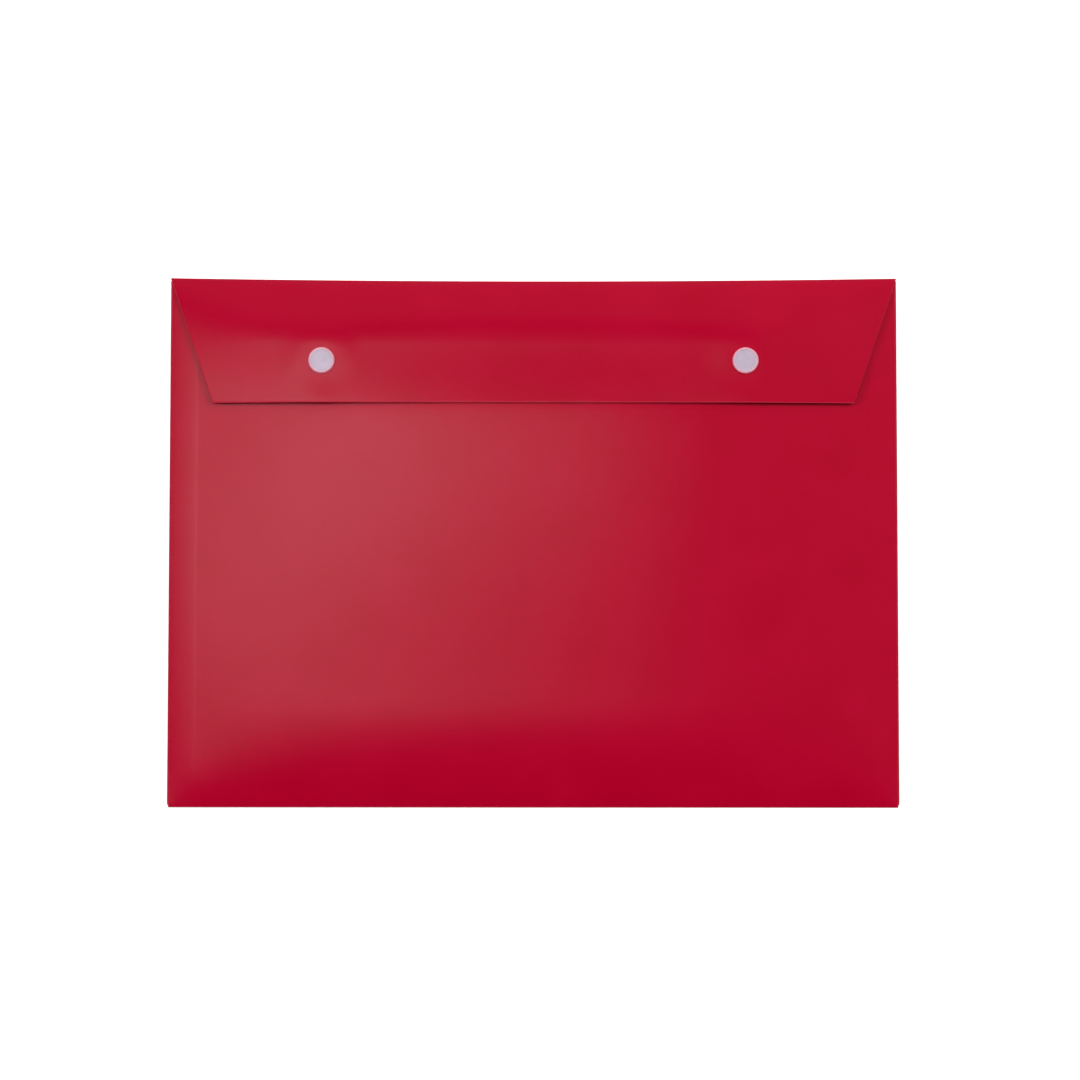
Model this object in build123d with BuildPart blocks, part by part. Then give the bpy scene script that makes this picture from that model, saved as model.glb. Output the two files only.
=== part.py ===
from build123d import *

import os
from math import atan, degrees, radians, sin

# Document wallet, lying on its back with the flap closed.
# X runs along the flap, Y points to the top fold, Z points up from the table.
# The origin is under the middle of the back panel, on the table.

# Sheet and overall size, in millimetres
wallet_width = 330.0
wallet_height = 240.0
sheet = 0.5

# Pocket: side tabs under the front panel, and the crown of the front panel
tab_width = 12.0
tab_end_slant = 8.0
tab_end_margin = 0.5
front_edge_inset = 0.6
pocket_room = 4.5
shoulder_width = 38.0
foot_length = 44.0
foot_step_shares = (0.0, 0.25, 0.5, 0.75, 1.0)
mouth_margin = 3.0
mouth_dip = 23.0
mouth_corner_radius = 5.0

# Flap: a trapezium that rises from the top fold and levels out above the press studs
flap_depth = 57.6
flap_side_inset = 20.0
flap_level_margin = 1.75

# Press studs: places and the discs that show
stud_side_inset = 69.3
stud_drop = 38.6
cap_radius = 6.0
cap_height = 1.3
cap_rim_bevel = 0.45
cap_dish_radius = 4.6
cap_dish_depth = 0.2

# Press studs: rivet shank, formed head and the plates that they clamp
shank_radius = 1.1
shank_clearance = 0.1
head_radius = 1.4
head_height = 0.45
plate_radius = 5.35
plate_edge_bevel = 0.3
stud_plate = 1.0
stud_floor = 0.8
socket_plate = 0.7

# Press studs: the ball and the socket that snaps over it
ball_radius = 2.5
ball_neck_radius = 2.2
ball_tip_radius = 2.1
ball_bore_radius = 1.6
ball_neck_height = 0.4
ball_waist_height = 0.8
ball_height = 1.4
snap_clearance = 0.12
snap_grip = 0.15
socket_wall_radius = 3.7
socket_lip_height = 0.25
socket_throat_height = 0.55
socket_mouth_flare = 0.35
rim_gap = 0.05

# Cuts run past the faces that they open by this much
overrun = 5.0

# Heights and places that follow from the sizes above
half_width = wallet_width / 2
half_height = wallet_height / 2
bend_inner = sheet / 2
bend_outer = bend_inner + sheet
crease_y = half_height - bend_outer
seam_z = sheet + sheet
seam_x = half_width - tab_width
plateau_x = seam_x - shoulder_width
front_half_width = half_width - front_edge_inset
crown_rise = pocket_room - sheet
crown_inner_z = seam_z + crown_rise
crown_outer_z = crown_inner_z + sheet
foot_top_y = foot_length - crease_y
mouth_side_y = half_height - mouth_margin
tab_root_y = crease_y - tab_end_margin
stud_x = half_width - stud_side_inset
stud_y = half_height - stud_drop
flap_inner_z = crown_outer_z + stud_plate + ball_height + snap_clearance + socket_plate
flap_outer_z = flap_inner_z + sheet
flap_edge_y = half_height - flap_depth
flap_level_y = stud_y + cap_radius + flap_level_margin

# The flap leaves the top fold at this slope and bends level on one arc
flap_rise = flap_inner_z - bend_outer - bend_inner
flap_run = crease_y - flap_level_y
flap_slope = 2 * degrees(atan(flap_rise / flap_run))
flap_bend_radius = bend_inner + flap_run / sin(radians(flap_slope))

os.makedirs("parts", exist_ok=True)


def save(piece, node):
    """Label one finished piece and write it as its own file."""
    piece.part.label = node
    export_step(piece.part, f"parts/{node}.step")


def smooth_step(share):
    """Ease from 0 to 1 with level ends."""
    return share * share * (3 - 2 * share)


def bend_section(centre, start_angle, arc_angle):
    """Section across a fold: the sheet bent round a centre given as Y and Z."""
    with BuildSketch(Plane.YZ) as section:
        with BuildLine():
            inner = CenterArc(centre, bend_inner, start_angle, arc_angle)
            outer = CenterArc(centre, bend_outer, start_angle, arc_angle)
            Line(inner @ 0, outer @ 0)
            Line(inner @ 1, outer @ 1)
        make_face()
    return section.sketch


def crowned_section(y, rise):
    """Section across the front panel at this Y, where its middle stands this far above the seams."""
    shoulder_x = (seam_x + plateau_x) / 2
    with BuildSketch(Plane.XZ.offset(-y)) as section:
        with BuildLine():
            for seam in (seam_z, seam_z + sheet):
                crown = seam + rise
                Line((-front_half_width, seam), (-seam_x, seam))
                Bezier((-seam_x, seam), (-shoulder_x, seam), (-shoulder_x, crown), (-plateau_x, crown))
                Line((-plateau_x, crown), (plateau_x, crown))
                Bezier((plateau_x, crown), (shoulder_x, crown), (shoulder_x, seam), (seam_x, seam))
                Line((seam_x, seam), (front_half_width, seam))
            for edge_x in (-front_half_width, front_half_width):
                Line((edge_x, seam_z), (edge_x, seam_z + sheet))
        make_face()
    return section.sketch


def stud_plane(side):
    """Vertical plane through one press stud: its X is the radius and its Y the height."""
    return Plane(origin=(side * stud_x, stud_y, 0), x_dir=(1, 0, 0), z_dir=(0, -1, 0))


def stud_axis(side):
    """Centre line of one press stud."""
    return Axis((side * stud_x, stud_y, 0), (0, 0, 1))


def cap_section(side, seat, away, head):
    """Half-section of a cap: a dished disc on its seat, its shank and the formed head."""
    face = seat + away * cap_height
    dish = face - away * cap_dish_depth
    rim = cap_dish_radius + cap_dish_depth
    head_end = head - away * head_height
    with BuildSketch(stud_plane(side)) as section:
        with BuildLine():
            Polyline(
                (0, dish),
                (cap_dish_radius, dish),
                (rim, face),
                (cap_radius, face),
                (cap_radius, seat),
                (shank_radius, seat),
                (shank_radius, head),
                (head_radius, head),
                (head_radius, head_end),
                (0, head_end),
                close=True,
            )
        make_face()
    return section.sketch


# Back panel, the flat sheet that lies on the table
with BuildPart() as back_panel:
    with BuildSketch(Plane.XY):
        Rectangle(2 * (half_width - sheet), 2 * crease_y)
    extrude(amount=sheet)
save(back_panel, "back_panel")

# Bottom fold, where the sheet turns up into the front panel
with BuildPart() as bottom_fold:
    extrude(bend_section((-crease_y, bend_outer), 90, 180), amount=front_half_width, both=True)
save(bottom_fold, "bottom_fold")

# Side folds and the tabs that they turn in over the back panel
for side, side_name in ((-1, "left"), (1, "right")):
    fold_x = side * (half_width - sheet)
    with BuildPart() as side_fold:
        with BuildSketch(Plane.XZ):
            with BuildLine():
                CenterArc((fold_x, sheet), sheet, -90, side * 180)
                Line((fold_x, 0), (fold_x, seam_z))
            make_face()
        extrude(amount=tab_root_y, both=True)
    save(side_fold, f"{side_name}_side_fold")

    with BuildPart() as side_tab:
        with BuildSketch(Plane.XY.offset(sheet)):
            with BuildLine():
                Polyline(
                    (fold_x, -tab_root_y),
                    (side * seam_x, tab_end_slant - tab_root_y),
                    (side * seam_x, tab_root_y - tab_end_slant),
                    (fold_x, tab_root_y),
                    close=True,
                )
            make_face()
        extrude(amount=sheet)
    save(side_tab, f"{side_name}_side_tab")

# Front panel: flat seams on the tabs, a crowned middle and a curved mouth
with BuildPart() as front_panel:
    foot_sections = [
        crowned_section(share * foot_length - crease_y, smooth_step(share) * crown_rise)
        for share in foot_step_shares
    ]
    loft(foot_sections)
    extrude(crowned_section(foot_top_y, crown_rise), amount=foot_top_y - mouth_side_y)
    with BuildSketch(Plane.XY):
        with BuildLine():
            curve = ThreePointArc(
                (-seam_x, mouth_side_y),
                (0, mouth_side_y - mouth_dip),
                (seam_x, mouth_side_y),
            )
            Polyline(
                curve @ 1,
                (seam_x, mouth_side_y + overrun),
                (-seam_x, mouth_side_y + overrun),
                curve @ 0,
            )
        make_face()
    extrude(amount=crown_outer_z + overrun, mode=Mode.SUBTRACT)
    mouth_corners = (
        front_panel.edges()
        .filter_by(Axis.Z)
        .filter_by_position(Axis.Y, mouth_side_y - sheet, mouth_side_y + sheet)
        .filter_by_position(Axis.X, -seam_x - sheet, seam_x + sheet)
    )
    fillet(mouth_corners, radius=mouth_corner_radius)
    with Locations((-stud_x, stud_y, crown_outer_z), (stud_x, stud_y, crown_outer_z)):
        Hole(shank_radius + shank_clearance)
save(front_panel, "front_panel")

# Top fold, the crease that the flap turns on
with BuildPart() as top_fold:
    extrude(bend_section((crease_y, bend_outer), -90, 180 - flap_slope), amount=half_width, both=True)
save(top_fold, "top_fold")

# Flap: one arc up from the fold, then level, cut to a trapezium
with BuildPart() as flap:
    with BuildSketch(Plane.YZ):
        arc_centre = (flap_level_y, flap_inner_z - flap_bend_radius)
        with BuildLine():
            inner_arc = CenterArc(arc_centre, flap_bend_radius, 90 - flap_slope, flap_slope)
            outer_arc = CenterArc(arc_centre, flap_bend_radius + sheet, 90 - flap_slope, flap_slope)
            Line(inner_arc @ 0, outer_arc @ 0)
            Polyline(
                inner_arc @ 1,
                (flap_edge_y - overrun, flap_inner_z),
                (flap_edge_y - overrun, flap_outer_z),
                outer_arc @ 1,
            )
        make_face()
    extrude(amount=half_width, both=True)
    with BuildSketch(Plane.XY):
        with BuildLine():
            Polyline(
                (-half_width, half_height),
                (half_width, half_height),
                (half_width - flap_side_inset, flap_edge_y),
                (flap_side_inset - half_width, flap_edge_y),
                close=True,
            )
        make_face()
    extrude(amount=flap_outer_z + overrun, mode=Mode.INTERSECT)
    with Locations((-stud_x, stud_y, flap_outer_z), (stud_x, stud_y, flap_outer_z)):
        Hole(shank_radius + shank_clearance)
save(flap, "flap")

# Press studs: each is a cap and socket on the flap, and a stud and inner cap on the front panel
for side, side_name in ((-1, "left"), (1, "right")):
    bore_radius = shank_radius + shank_clearance

    # Cap on the outside of the flap, its shank riveted over inside the socket
    with BuildPart() as flap_cap:
        revolve(cap_section(side, flap_outer_z, 1, flap_inner_z - socket_plate), axis=stud_axis(side))
        cap_rim = flap_cap.edges().filter_by(GeomType.CIRCLE).group_by(Axis.Z)[-1]
        chamfer(cap_rim.sort_by(SortBy.RADIUS)[-1], length=cap_rim_bevel)
    save(flap_cap, f"{side_name}_flap_cap")

    # Socket under the flap, with a lip that springs over the ball
    with BuildPart() as socket:
        rim_z = crown_outer_z + stud_plate + rim_gap
        lip_z = rim_z + socket_lip_height
        throat_z = rim_z + socket_throat_height
        plate_z = flap_inner_z - socket_plate
        lip_radius = ball_radius - snap_grip
        cavity_radius = ball_radius + snap_clearance
        with BuildSketch(stud_plane(side)):
            with BuildLine():
                Polyline(
                    (bore_radius, flap_inner_z),
                    (plate_radius, flap_inner_z),
                    (plate_radius, plate_z),
                    (socket_wall_radius, plate_z),
                    (socket_wall_radius, rim_z),
                    (lip_radius + socket_mouth_flare, rim_z),
                    (lip_radius, lip_z),
                    (cavity_radius, throat_z),
                    (cavity_radius, plate_z),
                    (bore_radius, plate_z),
                    close=True,
                )
            make_face()
        revolve(axis=stud_axis(side))
        plate_rims = socket.edges().filter_by(GeomType.CIRCLE).sort_by(SortBy.RADIUS)[-2:]
        chamfer(plate_rims.sort_by(Axis.Z)[0], length=plate_edge_bevel)
    save(socket, f"{side_name}_socket")

    # Stud on the outside of the front panel, a hollow ball on a round plate
    with BuildPart() as stud:
        plate_top_z = crown_outer_z + stud_plate
        floor_z = crown_outer_z + stud_floor
        tip_z = plate_top_z + ball_height
        with BuildSketch(stud_plane(side)):
            with BuildLine():
                Polyline(
                    (ball_neck_radius, plate_top_z + ball_neck_height),
                    (ball_radius, plate_top_z + ball_waist_height),
                    (ball_tip_radius, tip_z),
                    (ball_bore_radius, tip_z),
                    (ball_bore_radius, floor_z),
                    (bore_radius, floor_z),
                    (bore_radius, crown_outer_z),
                    (plate_radius, crown_outer_z),
                    (plate_radius, plate_top_z),
                    (ball_neck_radius, plate_top_z),
                    close=True,
                )
            make_face()
        revolve(axis=stud_axis(side))
        plate_rims = stud.edges().filter_by(GeomType.CIRCLE).sort_by(SortBy.RADIUS)[-2:]
        chamfer(plate_rims.sort_by(Axis.Z)[-1], length=plate_edge_bevel)
    save(stud, f"{side_name}_stud")

    # Inner cap inside the pocket, its shank riveted over inside the ball
    with BuildPart() as inner_cap:
        revolve(cap_section(side, crown_inner_z, -1, crown_outer_z + stud_floor), axis=stud_axis(side))
        cap_rim = inner_cap.edges().filter_by(GeomType.CIRCLE).group_by(Axis.Z)[0]
        chamfer(cap_rim.sort_by(SortBy.RADIUS)[-1], length=cap_rim_bevel)
    save(inner_cap, f"{side_name}_inner_cap")
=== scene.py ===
from math import atan, cos, exp, hypot, pi, radians, sin, sqrt

import bmesh
import bpy
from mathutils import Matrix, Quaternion, Vector


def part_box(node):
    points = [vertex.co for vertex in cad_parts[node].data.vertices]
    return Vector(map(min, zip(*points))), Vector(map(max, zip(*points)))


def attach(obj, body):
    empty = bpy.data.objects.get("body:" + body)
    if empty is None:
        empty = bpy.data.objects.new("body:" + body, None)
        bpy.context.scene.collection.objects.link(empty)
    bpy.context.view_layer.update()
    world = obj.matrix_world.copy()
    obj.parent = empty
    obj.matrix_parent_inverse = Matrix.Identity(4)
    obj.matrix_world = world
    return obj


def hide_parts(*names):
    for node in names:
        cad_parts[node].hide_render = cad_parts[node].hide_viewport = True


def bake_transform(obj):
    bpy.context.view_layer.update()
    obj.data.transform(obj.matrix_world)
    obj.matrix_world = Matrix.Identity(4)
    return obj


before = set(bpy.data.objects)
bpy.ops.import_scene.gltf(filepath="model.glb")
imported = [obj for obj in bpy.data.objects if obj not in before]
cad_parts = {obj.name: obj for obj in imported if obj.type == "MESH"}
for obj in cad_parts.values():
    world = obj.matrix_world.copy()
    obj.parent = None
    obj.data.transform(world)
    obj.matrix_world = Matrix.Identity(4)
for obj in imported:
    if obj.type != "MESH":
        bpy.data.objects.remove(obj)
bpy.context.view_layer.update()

# Sizes read from the frame, in metres
back_low, back_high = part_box("back_panel")
front_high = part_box("front_panel")[1]
bottom_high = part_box("bottom_fold")[1]
top_low, top_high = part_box("top_fold")
flap_low, flap_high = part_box("flap")
tab_low, tab_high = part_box("right_side_tab")
cap_low, cap_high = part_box("right_flap_cap")
inner_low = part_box("right_inner_cap")[0]
socket_low, socket_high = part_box("right_socket")
ball_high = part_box("right_stud")[1]

sheet = back_high.z - back_low.z
half_width = top_high.x
half_height = top_high.y
crease_y = top_low.y
bend_outer = half_height - crease_y
bend_inner = bend_outer - sheet
back_half = back_high.x
front_half = front_high.x
seam_x = tab_low.x
seam_z = bottom_high.z
crown_z = front_high.z
mouth_side_y = front_high.y
tab_root_y = tab_high.y
flap_edge_y = flap_low.y
flap_outer_z = flap_high.z
flap_inner_z = flap_outer_z - sheet
flap_depth = half_height - flap_edge_y
stud_x = (cap_low.x + cap_high.x) / 2
stud_y = (cap_low.y + cap_high.y) / 2
cap_radius = (cap_high.x - cap_low.x) / 2
plate_radius = (socket_high.x - socket_low.x) / 2

# Sheet forms that the frame's boxes don't give
mouth_dip = 0.023
tab_end_slant = 0.008
flap_side_inset = 0.020
flap_level_margin = 0.00175
edge_round = 0.00012
edge_strip = 3 * edge_round
fold_core = 0.00002

# Top edge: it is drawn in between its corners, and that fades out down the flap
top_edge_dip = 0.00137
dip_fade = 0.040

# Front panel: leaning bands at the sides that end in a small step at the seam
band_slope = 0.140
band_end_slope = 0.068
band_foot = 0.030
band_foot_power = 3.4
seam_step = 0.00006
seam_step_width = 0.0010

# Front panel: a soft arch between the bands, with a foot at the bottom fold
arch_rise = 0.0034
arch_power = 2.6
shoulder_rise = 0.0002
shoulder_reach = 0.014
foot_straight = 0.009
foot_bend = 0.042
foot_share = 0.92
belly_length = 0.150

# Front panel: it is fullest just below the flap's lower edge, and under the flap it keeps clear of it
brow_rise = 0.0021
brow_y = 0.058
brow_below = 0.130
brow_above = 0.030
brow_side_power = 4
press_gap = 0.00010
press_ease = 0.0001

# Flap: it sags between the press studs, droops past them and lifts a little towards its lower edge
flap_sag = 0.0011
sag_drop = 0.028
sag_power = 1.5
flap_droop = 0.0034
droop_ease = 0.25
flap_curl = 0.8
edge_start = 0.0019
edge_power = 3.0
edge_ease = 0.0003
crease_reach = 0.004
pad_radius = 0.0064
pad_fade = 0.0125
lip_bevel = 0.0003
lip_strip = 2 * lip_bevel

# Press studs
shank_radius = 0.0011
shank_clearance = 0.0001
head_radius = 0.0014
head_height = 0.00045
dish_radius = 0.0045
dish_depth = 0.00022
dish_slope = 0.00035
nub_radius = 0.0011
nub_height = 0.00005
rim_drop = 0.00055
# Width of each cap's pink rim band: a painted reflection of the red sheet and a painted highlight
painted_rim_width = 3 * rim_drop
socket_plate = 0.0007
socket_wall_radius = 0.0037
cavity_radius = 0.00262
lip_radius = 0.00235
lip_height = 0.00025
lip_flare = 0.00035
throat_height = 0.00055
stud_plate = 0.001
stud_floor = 0.0008
ball_radius = 0.0025
ball_neck_radius = 0.0022
ball_tip_radius = 0.0021
ball_bore_radius = 0.0016
ball_neck_height = 0.0004
ball_waist_height = 0.0008
corner_round = 0.00030
corner_reach_share = 0.45

# Flap profile: it leaves the top fold at this slope and bends level on one arc
flap_level_y = stud_y + cap_radius + flap_level_margin
flap_run = crease_y - flap_level_y
flap_slope = 2 * atan((flap_inner_z - bend_outer - bend_inner) / flap_run)
flap_arc_radius = bend_inner + flap_run / sin(flap_slope) + sheet
flap_arc_length = flap_arc_radius * flap_slope
flap_length = flap_arc_length + flap_level_y - flap_edge_y

# Mesh cells; those of the arch, the band and the flap's columns are counted on one side of the middle
arch_cells = 48
band_cells = 8
flap_cells = 55
flap_row_cells = 56
foot_cells = 44
upper_cells = 46
tab_cells = 80
turn_cells = 14
lathe_sides = 72
corner_steps = 4
sharp_angle = radians(58)

# Shares of a panel's length or width at which its rows and columns of vertices lie
back_row_shares = [0.0, 0.01, 0.03, 0.08, 0.2, 0.4, 0.6, 0.8, 0.95, 0.99]
foot_rows_share = 0.30
upper_rows_share = 0.69
mouth_lip_share = 0.9985
seam_column_shares = [1.25, 1.0, 0.75, 0.5, 0.25, 0.0]
tab_start_share = -0.99
tab_end_share = 0.997
tab_lip_share = 0.97

sides = ((-1, "left"), (1, "right"))


# Surfaces
def smooth(share):
    """Ease from 0 to 1 with level ends, held past them."""
    share = min(max(share, 0.0), 1.0)
    return share * share * (3 - 2 * share)


def pad_share(x, y):
    """0 on the flat that each press stud clamps, 1 away from it."""
    away = hypot(abs(x) - stud_x, y - stud_y)
    return smooth((away - pad_radius) / pad_fade)


def top_dip(x):
    """How far the top edge is drawn in at this place along it."""
    return top_edge_dip * (1 - (x / half_width) ** 2)


def drawn_in(x, y):
    """How far that draws the flap in at this place; it fades out down the flap."""
    return top_dip(x) * (1 - smooth((half_height - y) / dip_fade))


def mouth_y(x):
    """Edge of the front panel at the mouth: a shallow arc between the welded bands."""
    radius = (seam_x ** 2 + mouth_dip ** 2) / (2 * mouth_dip)
    if abs(x) >= seam_x:
        return mouth_side_y
    return mouth_side_y - mouth_dip + radius - sqrt(radius ** 2 - x ** 2)


def band_height(x):
    """Rise of the welded band from the side fold to its inner edge, less the small step past that edge."""
    width = front_half - seam_x
    across = min(max(front_half - abs(x), 0.0), width)
    step = seam_step * smooth((seam_x - abs(x)) / seam_step_width)
    return band_slope * across - (band_slope - band_end_slope) * across ** 2 / (2 * width) - step


def arch_height(x):
    """Rise of the front panel above the welded bands."""
    inside = max(seam_x - abs(x), 0.0)
    arch = 1 - min(abs(x) / seam_x, 1.0) ** arch_power
    return arch_rise * arch + shoulder_rise * (1 - exp(-inside / shoulder_reach))


def foot_rise(y):
    """Share of the arch at this height above the bottom fold: it rises straight, then bends level."""
    up = y + crease_y
    bent = min(max((up - foot_straight) / foot_bend, 0.0), 1.0)
    reach = min(up, foot_straight) + foot_bend * (bent - bent ** 3 + bent ** 4 / 2)
    foot = reach / (foot_straight + foot_bend / 2)
    belly = sin(pi / 2 * min(up / belly_length, 1.0))
    return foot_share * foot + (1 - foot_share) * belly


def brow(x, y):
    """Extra rise of the front panel near the flap's lower edge, with soft ends at the welded bands."""
    reach = brow_above if y > brow_y else brow_below
    side_fade = (1 - min(abs(x) / seam_x, 1.0) ** brow_side_power) ** 2
    return brow_rise * smooth(1 - abs(y - brow_y) / reach) * side_fade


def panel_top(x, y):
    """Height of the front panel's outer face, eased down where the flap would press on it."""
    band_rise = 1 - (1 - min((y + crease_y) / band_foot, 1.0)) ** band_foot_power
    free = seam_z + band_height(x) * band_rise + arch_height(x) * foot_rise(y) + brow(x, y)
    held = crown_z + (free - crown_z) * pad_share(x, y)
    if y < flap_edge_y:
        return held
    above = held - flap_under(x, y) + press_gap
    return held - (above + sqrt(above ** 2 + press_ease ** 2)) / 2


def place_pocket(column, row, depth):
    """A point of the pocket: rows 0 to 1 go down the back, 1 to 2 round the fold, 2 to 3 up the front."""
    if row < 1:
        x = column * back_half
        top_y = crease_y - top_dip(x)
        return x, top_y - (top_y + crease_y) * row, depth
    if row < 2:
        x = column * (back_half + (front_half - back_half) * (row - 1))
        turn = -pi / 2 - pi * (row - 1)
        reach = bend_outer - depth
        return x, reach * cos(turn) - crease_y, bend_outer + reach * sin(turn)
    x = column * front_half
    y = (mouth_y(x) + crease_y) * (row - 2) - crease_y
    return x, y, panel_top(x, y) - depth


def place_top_fold(column, row, depth):
    """A point of the crease: rows 0 to 1 go round it from the back panel to the flap."""
    x = column * half_width
    turn = -pi / 2 + (pi - flap_slope) * row
    reach = bend_outer - depth
    return x, crease_y - top_dip(x) + reach * cos(turn), bend_outer + reach * sin(turn)


def flap_half_width(y):
    """Half the flap's width at this height: it narrows evenly to its lower edge."""
    return half_width - flap_side_inset * (half_height - y) / flap_depth


def flap_profile(y):
    """Height of the flap's outer face before it drapes: one arc up from the crease, then level."""
    up = max(y - flap_level_y, 0.0)
    return flap_outer_z - flap_arc_radius + sqrt(flap_arc_radius ** 2 - up ** 2)


def edge_sink(drop):
    """How far the flap's side edges hang below that profile: they level out later than it does."""
    risen = 1 - (1 - min(max(drop / flap_depth, 0.0), 1.0)) ** edge_power
    line = edge_start + (flap_outer_z - flap_droop - edge_start) * risen
    above = flap_profile(half_height - drop) - line
    return (above + sqrt(above ** 2 + edge_ease ** 2)) / 2 * smooth(drop / crease_reach)


def droop_share(across):
    """Share of that sink between a press stud and the side edge: an eased start, then nearly straight."""
    return (hypot(across, droop_ease) - droop_ease) / (hypot(1.0, droop_ease) - droop_ease)


def flap_lift(x, y):
    """How far the flap stands above its profile; where it sags or droops this is below zero."""
    drop = half_height - y
    past_stud = abs(x) - stud_x
    if past_stud < 0:
        recovered = min(max(drop - sag_drop, 0.0) / (flap_depth - sag_drop), 1.0) ** sag_power
        sink = flap_sag * (1 - (x / stud_x) ** 2) * smooth(drop / sag_drop) * (1 - recovered)
    else:
        sink = edge_sink(drop) * droop_share(past_stud / (flap_half_width(y) - stud_x))
    curl = flap_curl * ((stud_y - flap_edge_y) ** 2 - (y - flap_edge_y) ** 2) * smooth(drop / flap_depth)
    return (curl - sink) * pad_share(x, y)


def flap_under(x, y):
    """Height of the flap's inner face, taken at its steepest so that it is never too high."""
    along = y + drawn_in(x, y)
    return flap_profile(along) + flap_lift(x, along) - sheet / cos(flap_slope)


def place_flap(column, row, depth):
    """A point of the flap: rows are distances from the crease along its outer face."""
    if row < flap_arc_length:
        turn = pi / 2 - flap_slope + row / flap_arc_radius
        reach = flap_arc_radius - depth
        y = flap_level_y + reach * cos(turn)
        z = flap_outer_z - flap_arc_radius + reach * sin(turn)
    else:
        y = flap_level_y - (row - flap_arc_length)
        z = flap_outer_z - depth
    x = column * flap_half_width(y)
    return x, y - drawn_in(x, y), z + flap_lift(x, y)


def place_side_sheet(side):
    """The side fold and its tab: rows 0 to 1 go round the fold, 1 to 2 across the tab."""

    def place(column, row, depth):
        if row < 1:
            turn = -pi / 2 + pi * row
            reach = max(sheet - depth, fold_core)
            return side * (back_half + reach * cos(turn)), column * tab_root_y, sheet + reach * sin(turn)
        across = row - 1
        x = back_half + (seam_x - back_half) * across
        y = column * (tab_root_y - tab_end_slant * across)
        return side * x, y, panel_top(x, y) - sheet - depth

    return place


# Mesh builders
def mirrored(shares):
    """Columns from -1 to 1 that are alike on both sides of the middle."""
    return [-share for share in reversed(shares)] + [0.0] + shares


def link_object(name, data):
    """Put a new object with this mesh, lamp or camera into the scene."""
    linked = bpy.data.objects.new(name, data)
    bpy.context.scene.collection.objects.link(linked)
    return linked


def finish_mesh(name, build, materials):
    """Turn a filled bmesh into a smooth-shaded object with hard corners kept."""
    bmesh.ops.recalc_face_normals(build, faces=build.faces)
    mesh = bpy.data.meshes.new(name)
    build.to_mesh(mesh)
    build.free()
    for material in materials:
        mesh.materials.append(material)
    mesh.shade_smooth()
    mesh.set_sharp_from_angle(angle=sharp_angle)
    return link_object(name, mesh)


def sheet_solid(name, columns, rows, place, column_round, last_round):
    """A closed sheet with an outer face, an inner face and slightly rounded cut edges between them."""
    face_columns = [columns[0] + column_round, *columns[1:-1], columns[-1] - column_round]
    face_rows = [*rows[:-1], rows[-1] - last_round]
    build = bmesh.new()
    faces = []
    for depth in (0.0, sheet):
        faces.append([[build.verts.new(place(c, r, depth)) for c in face_columns] for r in face_rows])
    last_column = len(columns) - 1
    last_row = len(rows) - 1
    rim = [(k, 0) for k in range(last_column)]
    rim += [(last_column, k) for k in range(last_row)]
    rim += [(k, last_row) for k in range(last_column, 0, -1)]
    rim += [(0, k) for k in range(last_row, 0, -1)]
    loops = [[faces[0][r][c] for c, r in rim]]
    for depth in (edge_round, sheet - edge_round):
        loops.append([build.verts.new(place(columns[c], rows[r], depth)) for c, r in rim])
    loops.append([faces[1][r][c] for c, r in rim])
    for grid in faces:
        for lower, upper in zip(grid, grid[1:]):
            for k in range(last_column):
                build.faces.new((lower[k], lower[k + 1], upper[k + 1], upper[k]))
    for outer, inner in zip(loops, loops[1:]):
        for k in range(len(rim)):
            following = (k + 1) % len(rim)
            edge = build.faces.new((outer[k], outer[following], inner[following], inner[k]))
            # The cut-edge faces take the lighter edge material, partly a painted highlight
            edge.material_index = 1
    return finish_mesh(name, build, [red_sheet, red_edge_and_highlight])


def soften(points, closed):
    """Round the corners of a half-section, leaving its ends on the axis as they are."""
    softened = []
    for k, corner in enumerate(points):
        if not closed and k in (0, len(points) - 1):
            softened.append(corner)
            continue
        here = Vector(corner)
        before = Vector(points[k - 1]) - here
        after = Vector(points[(k + 1) % len(points)]) - here
        reach = min(corner_round, before.length * corner_reach_share, after.length * corner_reach_share)
        start = here + before.normalized() * reach
        end = here + after.normalized() * reach
        for step in range(corner_steps + 1):
            share = step / corner_steps
            softened.append(tuple(
                start * (1 - share) ** 2 + here * 2 * share * (1 - share) + end * share * share
            ))
    return softened


def lathe(name, profile, side, closed):
    """Turn a half-section of radius and height about the centre line of one press stud."""
    build = bmesh.new()
    rings = []
    for radius, height in soften(profile, closed):
        if radius == 0:
            rings.append([build.verts.new((side * stud_x, stud_y, height))] * lathe_sides)
            continue
        ring = []
        for k in range(lathe_sides):
            turn = 2 * pi * k / lathe_sides
            x = side * stud_x + radius * cos(turn)
            y = stud_y + radius * sin(turn)
            ring.append(build.verts.new((x, y, height)))
        rings.append(ring)
    pairs = list(zip(rings, rings[1:]))
    if closed:
        pairs.append((rings[-1], rings[0]))
    for lower, upper in pairs:
        for k in range(lathe_sides):
            following = (k + 1) % lathe_sides
            corners = dict.fromkeys((lower[k], lower[following], upper[following], upper[k]))
            build.faces.new(tuple(corners))
    return finish_mesh(name, build, [milky])


# Shader nodes; most of a noise lies between these two values
noise_low = 0.3
noise_high = 0.7


def new_material(name):
    """A node material with its shader and output, and coordinates in metres."""
    material = bpy.data.materials.new(name)
    material.use_nodes = True
    tree = material.node_tree
    tree.nodes.clear()
    shader = tree.nodes.new("ShaderNodeBsdfPrincipled")
    output = tree.nodes.new("ShaderNodeOutputMaterial")
    tree.links.new(shader.outputs["BSDF"], output.inputs["Surface"])
    coordinates = tree.nodes.new("ShaderNodeTexCoord").outputs["Object"]
    return material, tree, shader, coordinates


def add_noise(tree, coordinates, grain, detail):
    """Noise whose patches are about this many metres across."""
    noise = tree.nodes.new("ShaderNodeTexNoise")
    noise.inputs["Scale"].default_value = 1 / grain
    noise.inputs["Detail"].default_value = detail
    tree.links.new(coordinates, noise.inputs["Vector"])
    return noise.outputs["Fac"]


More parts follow.
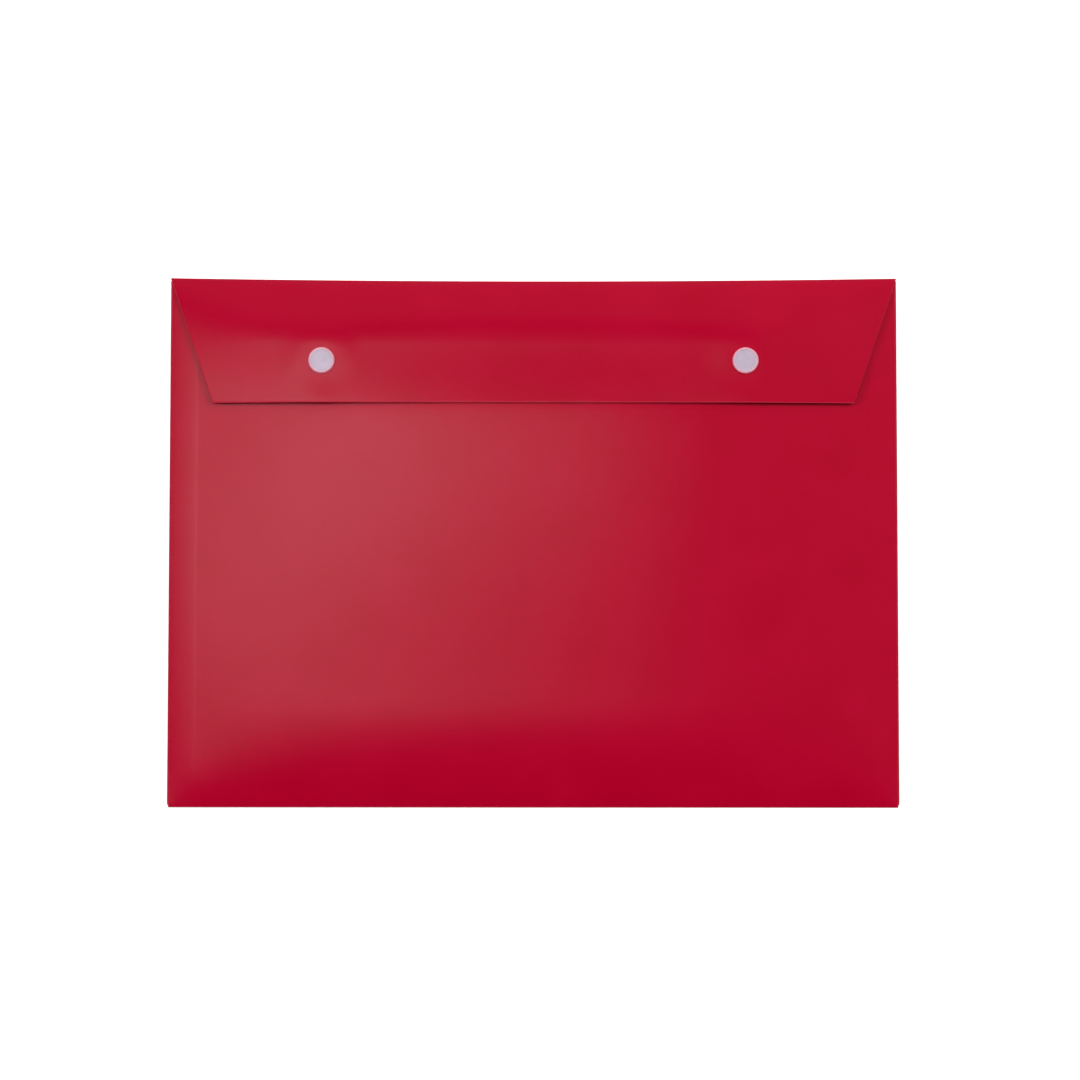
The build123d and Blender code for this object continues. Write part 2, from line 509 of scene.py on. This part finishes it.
def add_range(tree, value, low, high, start=noise_low, end=noise_high, eased=False):
    """Spread a value from start to end, as a rule the middle of a noise, over low to high."""
    spread = tree.nodes.new("ShaderNodeMapRange")
    if eased:
        spread.interpolation_type = "SMOOTHSTEP"
    spread.inputs["From Min"].default_value = start
    spread.inputs["From Max"].default_value = end
    spread.inputs["To Min"].default_value = low
    spread.inputs["To Max"].default_value = high
    tree.links.new(value, spread.inputs["Value"])
    return spread.outputs["Result"]


def add_tint(tree, factor, first, second):
    """Mix two colours, each given as a value or as a node's output."""
    mix = tree.nodes.new("ShaderNodeMix")
    mix.data_type = "RGBA"
    for name, colour in (("A", first), ("B", second)):
        if isinstance(colour, tuple):
            mix.inputs[name].default_value = (*colour, 1)
        else:
            tree.links.new(colour, mix.inputs[name])
    tree.links.new(factor, mix.inputs["Factor"])
    return mix.outputs["Result"]


def add_bump(tree, height, distance, normal=None):
    """Turn a noise into relief of this depth in metres."""
    bump = tree.nodes.new("ShaderNodeBump")
    bump.inputs["Distance"].default_value = distance
    tree.links.new(height, bump.inputs["Height"])
    if normal is not None:
        tree.links.new(normal, bump.inputs["Normal"])
    return bump.outputs["Normal"]


def add_math(tree, operation, first, second):
    """Join two numbers by one operation."""
    joined = tree.nodes.new("ShaderNodeMath")
    joined.operation = operation
    tree.links.new(first, joined.inputs[0])
    tree.links.new(second, joined.inputs[1])
    return joined.outputs["Value"]


def add_vector(tree, operation, vector, other=(0, 0, 0)):
    """One operation on a vector and, where it takes two, a fixed second one."""
    changed = tree.nodes.new("ShaderNodeVectorMath")
    changed.operation = operation
    changed.inputs[1].default_value = other
    tree.links.new(vector, changed.inputs[0])
    return changed.outputs["Vector"]


def add_length(tree, vector):
    """Length of a vector."""
    length = tree.nodes.new("ShaderNodeVectorMath")
    length.operation = "LENGTH"
    tree.links.new(vector, length.inputs[0])
    return length.outputs["Value"]


# Materials
def red_plastic(name, dark, light, roughest):
    """Satin polypropylene sheet with a fine orange-peel grain."""
    cloud_size = 0.030
    peel_size = 0.0035
    grain_size = 0.0007
    peel_depth = 0.000020
    grain_depth = 0.000030
    roughness_spread = 0.06
    material, tree, shader, coordinates = new_material(name)
    cloud = add_noise(tree, coordinates, cloud_size, detail=3)
    peel = add_noise(tree, coordinates, peel_size, detail=2)
    grain = add_noise(tree, coordinates, grain_size, detail=2)
    colour = add_tint(tree, add_range(tree, cloud, 0.0, 1.0), dark, light)
    roughness = add_range(tree, grain, roughest - roughness_spread, roughest)
    relief = add_bump(tree, grain, grain_depth, add_bump(tree, peel, peel_depth))
    tree.links.new(colour, shader.inputs["Base Color"])
    tree.links.new(roughness, shader.inputs["Roughness"])
    tree.links.new(relief, shader.inputs["Normal"])
    shader.inputs["IOR"].default_value = 1.49
    shader.inputs["Specular IOR Level"].default_value = 0.15
    return material


def painted_rim_share(tree, coordinates):
    """0 over the face of a press stud, rising to 1 at its thin rim, where a pink band paints the red
    sheet's reflection and a highlight.
    """
    right_side = add_vector(tree, "ABSOLUTE", coordinates)
    from_centre = add_vector(tree, "SUBTRACT", right_side, (stud_x, stud_y, 0))
    across = add_vector(tree, "MULTIPLY", from_centre, (1, 1, 0))
    radius = add_length(tree, across)
    return add_range(tree, radius, 0.0, 1.0, cap_radius - painted_rim_width, cap_radius, eased=True)


def stud_plastic():
    """Milky natural plastic, slightly translucent."""
    cloud_size = 0.0035
    grain_size = 0.0005
    grain_depth = 0.000006
    smoothest = 0.30
    roughest = 0.42
    dark = (0.55, 0.45, 0.56)
    light = (0.61, 0.52, 0.63)
    # Painted reflection of the red sheet and painted highlight on the caps' rounded rims
    rim_painted_reflection_pink = (0.96, 0.42, 0.54)
    material, tree, shader, coordinates = new_material("stud_plastic")
    cloud = add_noise(tree, coordinates, cloud_size, detail=3)
    grain = add_noise(tree, coordinates, grain_size, detail=2)
    face_colour = add_tint(tree, add_range(tree, cloud, 0.0, 1.0), dark, light)
    # The rim is painted pink: a painted reflection and highlight, not the plastic's own colour
    colour = add_tint(tree, painted_rim_share(tree, coordinates), face_colour, rim_painted_reflection_pink)
    tree.links.new(colour, shader.inputs["Base Color"])
    tree.links.new(add_range(tree, grain, smoothest, roughest), shader.inputs["Roughness"])
    tree.links.new(add_bump(tree, grain, grain_depth), shader.inputs["Normal"])
    shader.inputs["IOR"].default_value = 1.5
    shader.inputs["Subsurface Weight"].default_value = 0.25
    shader.inputs["Subsurface Radius"].default_value = (1.0, 0.7, 0.8)
    shader.inputs["Subsurface Scale"].default_value = 0.0012
    return material


red_sheet = red_plastic(
    "red_sheet", dark=(0.465, 0.0004, 0.0225), light=(0.490, 0.0010, 0.0265), roughest=0.23,
)
# Cut edges: lighter than the sheet, partly the look of cut plastic and partly a painted highlight along
# the edges
red_edge_and_highlight = red_plastic(
    "red_cut_edge_and_highlight", dark=(0.60, 0.030, 0.060), light=(0.64, 0.036, 0.068), roughest=0.45,
)
milky = stud_plastic()


# Sheet pieces
def pocket_columns():
    """Columns across the pocket, closer together at the seams and at the sides."""
    seam_share = seam_x / front_half
    right_half = [seam_share * k / arch_cells for k in range(1, arch_cells)]
    right_half += [(seam_x - seam_step_width * share) / front_half for share in seam_column_shares]
    right_half += [seam_share + (1 - seam_share) * k / band_cells for k in range(1, band_cells)]
    right_half += [1 - edge_strip / front_half, 1.0]
    return mirrored(right_half)


def pocket_rows():
    """Rows down the back, round the bottom fold and up the front, closest at the foot of the front."""
    fold_rows = [1 + k / turn_cells for k in range(turn_cells)]
    foot_rows = [2 + foot_rows_share * k / foot_cells for k in range(foot_cells)]
    upper_start = 2 + foot_rows_share
    upper_rows = [upper_start + upper_rows_share * k / upper_cells for k in range(upper_cells + 1)]
    return [*back_row_shares, *fold_rows, *foot_rows, *upper_rows, 2 + mouth_lip_share, 3.0]


def flap_columns():
    """Columns across the flap and the crease."""
    right_half = [k / flap_cells for k in range(1, flap_cells)]
    return mirrored(right_half + [1 - edge_strip / half_width, 1.0])


def add_pocket_sheet():
    """Back panel, bottom fold and front panel."""
    pocket = sheet_solid(
        "pocket_sheet", pocket_columns(), pocket_rows(), place_pocket,
        column_round=edge_round / front_half, last_round=edge_round / (mouth_side_y + crease_y),
    )
    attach(pocket, "pocket")
    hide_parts("back_panel", "bottom_fold", "front_panel")


def add_side_sheet(side, side_name):
    """Side fold with the tab that is welded under the front panel."""
    middle_columns = [2 * k / tab_cells + tab_start_share for k in range(tab_cells)]
    columns = [-1.0, -tab_end_share, *middle_columns, tab_end_share, 1.0]
    fold_rows = [k / turn_cells for k in range(turn_cells)]
    tab_rows = [1 + k / band_cells for k in range(band_cells)]
    turned_in = sheet_solid(
        f"{side_name}_side_sheet", columns, [*fold_rows, *tab_rows, 1 + tab_lip_share, 2.0],
        place_side_sheet(side),
        column_round=edge_round / tab_root_y, last_round=edge_round / (back_half - seam_x),
    )
    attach(turned_in, "pocket")
    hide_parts(f"{side_name}_side_fold", f"{side_name}_side_tab")


def add_flap_sheet():
    """Trapezium flap."""
    rows = [flap_length * k / flap_row_cells for k in range(flap_row_cells)]
    flap = sheet_solid(
        "flap_sheet", flap_columns(), [*rows, flap_length - lip_strip, flap_length], place_flap,
        column_round=edge_round / half_width, last_round=lip_bevel,
    )
    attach(flap, "flap")
    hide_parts("flap")


def add_top_crease():
    """Crease between the back panel and the flap, in its closed shape."""
    rows = [k / turn_cells for k in range(turn_cells + 1)]
    crease = sheet_solid(
        "top_crease", flap_columns(), rows, place_top_fold,
        column_round=edge_round / half_width, last_round=0.0,
    )
    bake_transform(crease)
    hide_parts("top_fold")


# Press studs
def cap_profile(seat, face, head):
    """Half-section of a cap: a dished disc with a soft rim, its shank and the formed head."""
    away = 1 if face > seat else -1
    dish = face - away * dish_depth
    return [
        (0, dish + away * nub_height),
        (nub_radius, dish + away * nub_height),
        (nub_radius + nub_height, dish),
        (dish_radius, dish),
        (dish_radius + dish_slope, face),
        (cap_radius - rim_drop, face),
        (cap_radius - edge_round, face - away * rim_drop),
        (cap_radius - edge_round, seat),
        (shank_radius, seat),
        (shank_radius, head),
        (head_radius, head),
        (head_radius, head - away * head_height),
        (0, head - away * head_height),
    ]


def socket_profile():
    """Half-section of the socket under the flap, with the lip that springs over the ball."""
    plate_z = flap_inner_z - socket_plate
    rim_z = socket_low.z
    return [
        (shank_radius + shank_clearance, flap_inner_z),
        (plate_radius, flap_inner_z),
        (plate_radius, plate_z),
        (socket_wall_radius, plate_z),
        (socket_wall_radius, rim_z),
        (lip_radius + lip_flare, rim_z),
        (lip_radius, rim_z + lip_height),
        (cavity_radius, rim_z + throat_height),
        (cavity_radius, plate_z),
        (shank_radius + shank_clearance, plate_z),
    ]


def ball_profile():
    """Half-section of the stud on the front panel: a hollow ball on a round plate."""
    plate_z = crown_z + stud_plate
    return [
        (ball_neck_radius, plate_z + ball_neck_height),
        (ball_radius, plate_z + ball_waist_height),
        (ball_tip_radius, ball_high.z),
        (ball_bore_radius, ball_high.z),
        (ball_bore_radius, crown_z + stud_floor),
        (shank_radius + shank_clearance, crown_z + stud_floor),
        (shank_radius + shank_clearance, crown_z),
        (plate_radius, crown_z),
        (plate_radius, plate_z),
        (ball_neck_radius, plate_z),
    ]


def add_press_stud(side, side_name):
    """The four mouldings of one press stud: two on the flap and two on the front panel."""
    flap_cap = cap_profile(flap_outer_z, cap_high.z, flap_inner_z - socket_plate)
    inner_cap = cap_profile(crown_z - sheet, inner_low.z, crown_z + stud_floor)
    for part, profile, closed, body in (
        ("flap_cap", flap_cap, False, "flap"),
        ("socket", socket_profile(), True, "flap"),
        ("stud", ball_profile(), True, "pocket"),
        ("inner_cap", inner_cap, False, "pocket"),
    ):
        moulding = lathe(f"{side_name}_{part}_moulding", profile, side, closed)
        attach(moulding, body)
        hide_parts(f"{side_name}_{part}")


add_pocket_sheet()
for side, side_name in sides:
    add_side_sheet(side, side_name)
add_flap_sheet()
add_top_crease()
for side, side_name in sides:
    add_press_stud(side, side_name)

# Stage
stage_radius = 12.0
stage_sides = 64
wall_height = 6.0
white_from = 0.35
white_to = 1.2
near_glow = 0.55


def stage_material(name, glow_by_distance):
    """White that glows only where it is seen or mirrored; a floor glows less near the object."""
    material, tree, shader, coordinates = new_material(name)
    shader.inputs["Base Color"].default_value = (0.9, 0.9, 0.9, 1)
    shader.inputs["Roughness"].default_value = 0.9
    shader.inputs["Specular IOR Level"].default_value = 0.0
    shader.inputs["Emission Color"].default_value = (1, 1, 1, 1)
    path = tree.nodes.new("ShaderNodeLightPath")
    glow = path.outputs["Is Camera Ray"]
    for kind in ("Is Glossy Ray", "Is Transmission Ray"):
        glow = add_math(tree, "MAXIMUM", glow, path.outputs[kind])
    if glow_by_distance:
        distance = add_length(tree, coordinates)
        whiteness = add_range(tree, distance, near_glow, 1.0, white_from, white_to)
        glow = add_math(tree, "MULTIPLY", glow, whiteness)
    tree.links.new(glow, shader.inputs["Emission Strength"])
    return material


def stage_piece(name, material, fill):
    """A floor, backdrop or diffuser that isn't part of the object."""
    build = bmesh.new()
    fill(build)
    mesh = bpy.data.meshes.new(name)
    build.to_mesh(mesh)
    build.free()
    mesh.materials.append(material)
    piece = link_object(name, mesh)
    return piece


def fill_floor(build):
    """A round floor."""
    bmesh.ops.create_circle(build, cap_ends=True, segments=stage_sides, radius=stage_radius)


def fill_wall(build):
    """A round wall at the floor's edge."""
    foot = bmesh.ops.create_circle(build, segments=stage_sides, radius=stage_radius)["verts"]
    foot_edges = list({edge for vertex in foot for edge in vertex.link_edges})
    raised = bmesh.ops.extrude_edge_only(build, edges=foot_edges)
    for element in raised["geom"]:
        if isinstance(element, bmesh.types.BMVert):
            element.co.z = wall_height


stage_piece("floor", stage_material("floor_white", glow_by_distance=True), fill_floor)
stage_piece("backdrop", stage_material("backdrop_white", glow_by_distance=False), fill_wall)


# Lights
def softbox(name, place, width, length, power):
    """A rectangular studio lamp that points at the wallet and isn't mirrored in it."""
    lamp = bpy.data.lights.new(name, "AREA")
    lamp.shape = "RECTANGLE"
    lamp.size = width
    lamp.size_y = length
    lamp.energy = power
    stand = link_object(name, lamp)
    stand.visible_glossy = False
    stand.location = place
    stand.rotation_mode = "QUATERNION"
    stand.rotation_quaternion = (-Vector(place)).to_track_quat("-Z", "Y")


def glowing_panel(place, length, width, brightness):
    """An overhead diffuser panel that is brightest in the middle and fades to an oval edge."""
    material, tree, shader, coordinates = new_material("diffuser_glow")
    shader.inputs["Base Color"].default_value = (0, 0, 0, 1)
    shader.inputs["Specular IOR Level"].default_value = 0.0
    shader.inputs["Emission Color"].default_value = (1, 1, 1, 1)
    oval = add_vector(tree, "MULTIPLY", coordinates, (2 / length, 2 / width, 0))
    fade = add_range(tree, add_length(tree, oval), brightness, 0.0, 0.0, 1.0, eased=True)
    tree.links.new(fade, shader.inputs["Emission Strength"])

    def fill_square(build):
        bmesh.ops.create_grid(build, size=length / 2)

    panel = stage_piece("overhead_diffuser", material, fill_square)
    panel.location = place


def graded_dome(dark_side, bright_side, brightness):
    """Soft light from the far half of the room, fading out overhead towards the near half."""
    world = bpy.data.worlds.new("studio")
    world.use_nodes = True
    tree = world.node_tree
    direction = tree.nodes.new("ShaderNodeTexCoord")
    parts = tree.nodes.new("ShaderNodeSeparateXYZ")
    tree.links.new(direction.outputs["Generated"], parts.inputs["Vector"])
    strength = add_range(tree, parts.outputs["Y"], 0.0, brightness, dark_side, bright_side)
    background = tree.nodes["Background"]
    background.inputs["Color"].default_value = (1, 1, 1, 1)
    tree.links.new(strength, background.inputs["Strength"])
    bpy.context.scene.world = world


glowing_panel(place=(-0.42, 0.16, 1.90), length=1.65, width=0.96, brightness=7.0)
softbox("left_key", place=(-2.70, 0.80, 2.60), width=1.0, length=1.0, power=43.0)
softbox("right_fill", place=(1.00, 0.68, 1.50), width=0.5, length=0.5, power=14.9)
softbox("front_fill", place=(0.10, -2.60, 1.50), width=1.6, length=0.8, power=5.0)
graded_dome(dark_side=-0.20, bright_side=0.12, brightness=0.50)

# Camera: above the wallet, leaning a little towards its lower edge
camera_distance = 1.20
camera_elevation = radians(86.85)
camera_roll = radians(0.04)
view_width = 0.48775
aim_point = Vector((0.0030, 0.0005, 0.004))
sensor_width = 36.0

camera_data = bpy.data.cameras.new("camera")
camera_data.sensor_width = sensor_width
camera_data.lens = sensor_width * camera_distance / view_width
camera = link_object("camera", camera_data)
backwards = Vector((0, -cos(camera_elevation), sin(camera_elevation)))
camera.location = aim_point + backwards * camera_distance
camera.rotation_mode = "QUATERNION"
camera.rotation_quaternion = (-backwards).to_track_quat("-Z", "Y") @ Quaternion((0, 0, 1), camera_roll)
bpy.context.scene.camera = camera

bpy.context.scene.view_settings.view_transform = "Standard"
